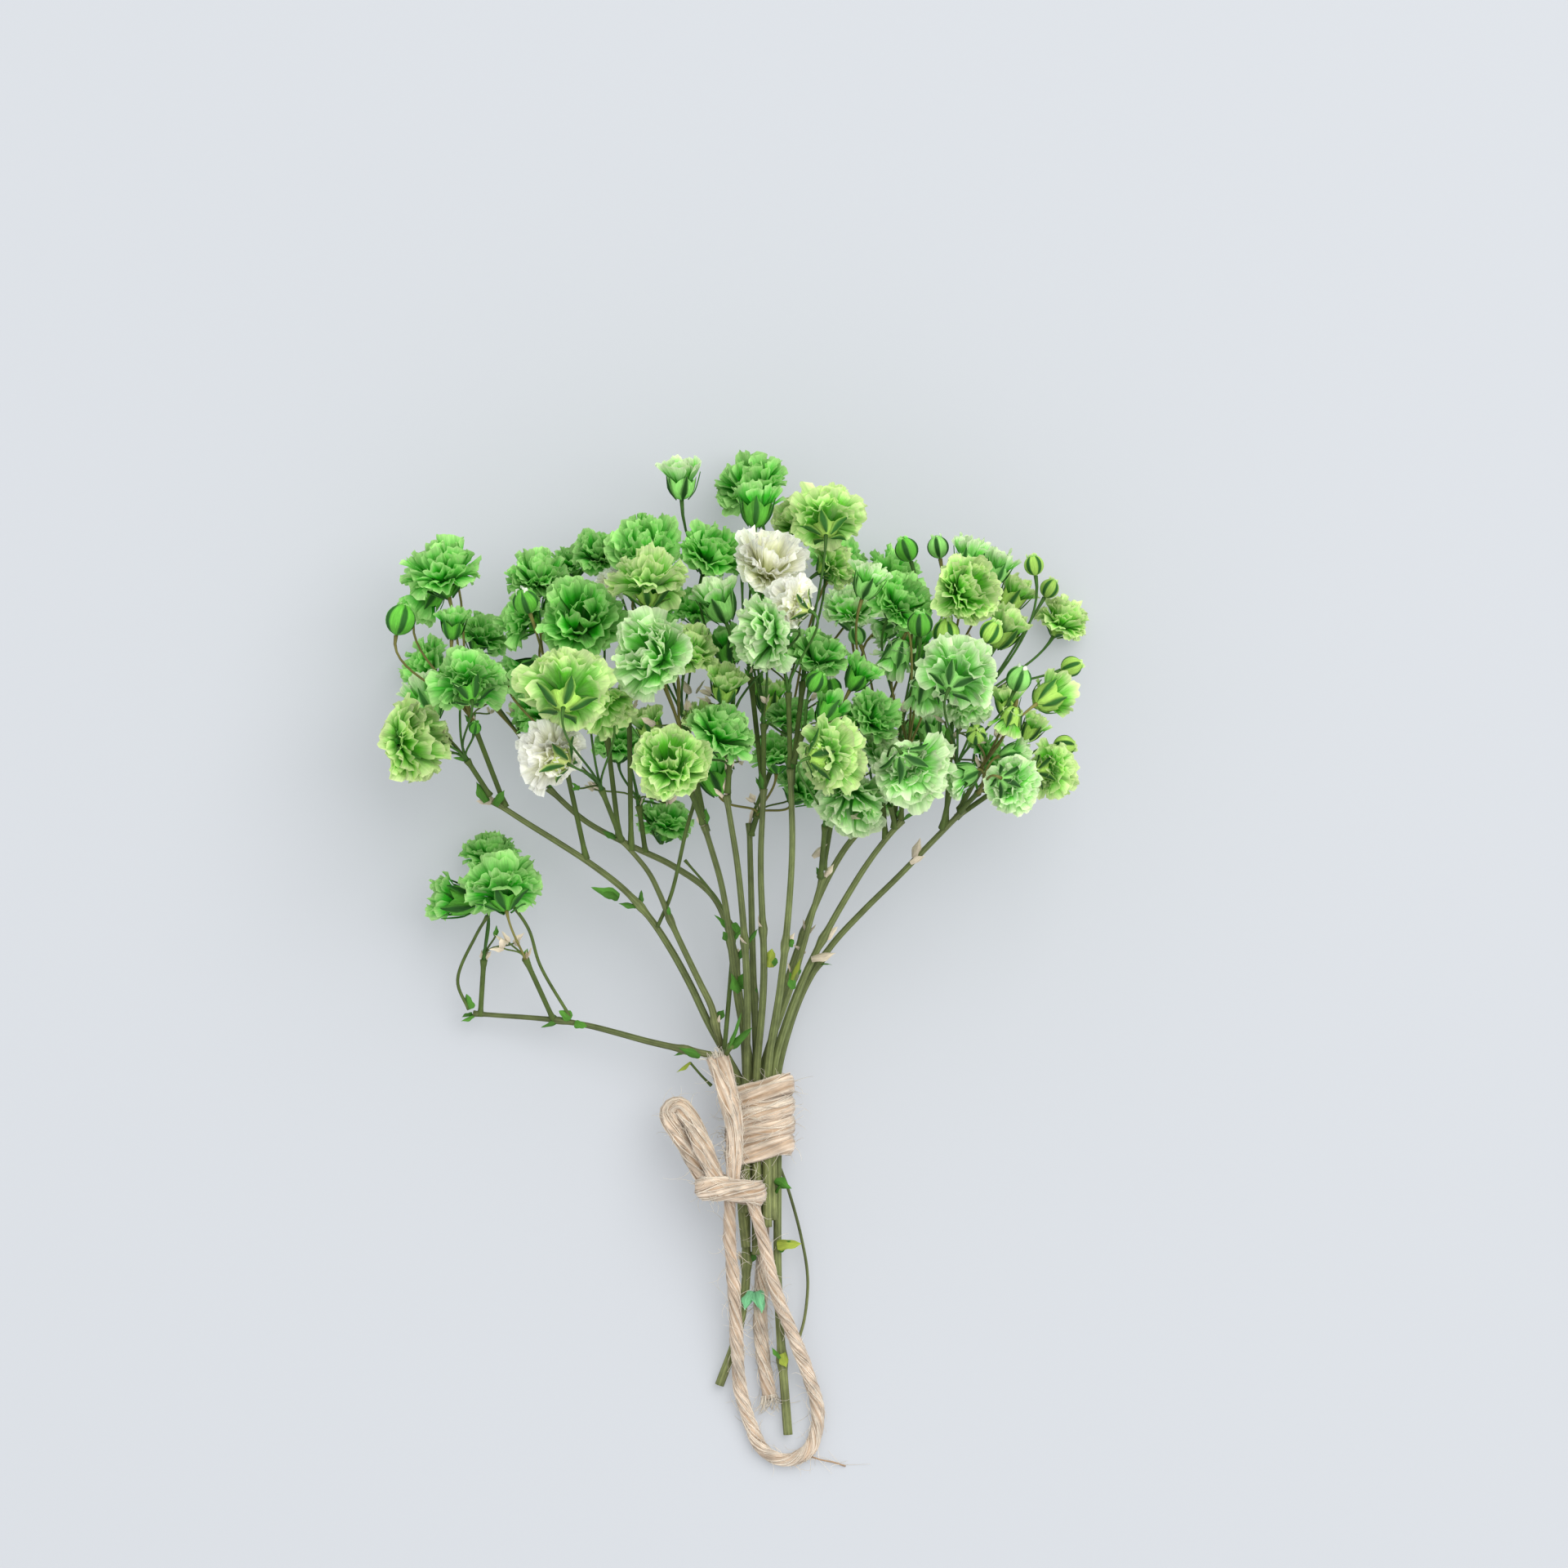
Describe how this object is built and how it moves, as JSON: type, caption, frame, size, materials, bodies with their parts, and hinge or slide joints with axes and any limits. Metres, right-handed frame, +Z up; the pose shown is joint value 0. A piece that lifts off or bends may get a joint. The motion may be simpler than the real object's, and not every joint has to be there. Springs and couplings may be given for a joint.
{
  "type": "tied bunch of dried baby's breath",
  "caption": "Small flat-lying bunch of dried green-dyed baby's breath: fine branching stems with round frilly flower heads and buds, tied with jute twine in a long bow loop.",
  "frame": {"origin": "on the surface that the bunch lies on, under the middle of its box without the free twine loop", "axes": "+Y from the cut stem ends towards the flowers, +X to the right as seen from above, +Z up from the surface"},
  "size_m": [0.072, 0.1045, 0.0351],
  "materials": {
    "stem": "dry ridged olive-green stalk, matte",
    "flower_green": "dyed papery petals, matte",
    "flower_lime": "dyed papery petals with pale edges, matte",
    "flower_mint": "lightly dyed papery petals, matte",
    "flower_undyed": "natural cream papery petals, matte",
    "leaf": "dry thin leaf, matte",
    "twine": "twisted jute, fuzzy, matte"
  },
  "bodies": {
    "root": {"stem_left": "stem", "stem_inner_left": "stem", "stem_middle_left": "stem", "stem_middle": "stem", "stem_middle_right": "stem", "stem_inner_right": "stem", "stem_right": "stem", "stem_right_outer": "stem", "stem_low_left": "stem", "stem_low_middle": "stem", "stem_low_right": "stem", "loose_shoot": "stem", "inner_shoot": "stem", "curved_shoot": "stem", "sprig_01_green": "flower_green", "sprig_02_green": "flower_green", "sprig_03_green": "flower_green", "sprig_04_green": "flower_green", "sprig_05_green": "flower_green", "sprig_06_lime": "flower_lime", "sprig_07_green": "flower_green", "sprig_08_undyed": "flower_undyed", "sprig_09_lime": "flower_lime", "sprig_10_mint": "flower_mint", "sprig_11_green": "flower_green", "sprig_12_lime": "flower_lime", "sprig_13_mint": "flower_mint", "sprig_14_green": "flower_green", "sprig_15_mint": "flower_mint", "sprig_16_undyed": "flower_undyed", "sprig_17_green": "flower_green", "sprig_18_lime": "flower_lime", "sprig_19_lime": "flower_lime", "sprig_20_green": "flower_green", "sprig_21_mint": "flower_mint", "sprig_22_mint": "flower_mint", "sprig_23_mint": "flower_mint", "sprig_24_green": "flower_green", "sprig_25_mint": "flower_mint", "sprig_26_lime": "flower_lime", "sprig_27_lime": "flower_lime", "sprig_28_mint": "flower_mint", "sprig_29_lime": "flower_lime", "sprig_30_mint": "flower_mint", "sprig_31_lime": "flower_lime", "sprig_32_green": "flower_green", "sprig_33_green": "flower_green", "sprig_34_green": "flower_green", "sprig_35_green": "flower_green", "sprig_36_green": "flower_green", "leaf_at_tie": "leaf", "leaf_left_joint": "leaf", "twine_wrap": "twine", "twine_knot": "twine", "twine_loop": "twine", "twine_ear": "twine", "twine_end_top": "twine", "twine_end_tail": "twine"}
  },
  "joints": []
}
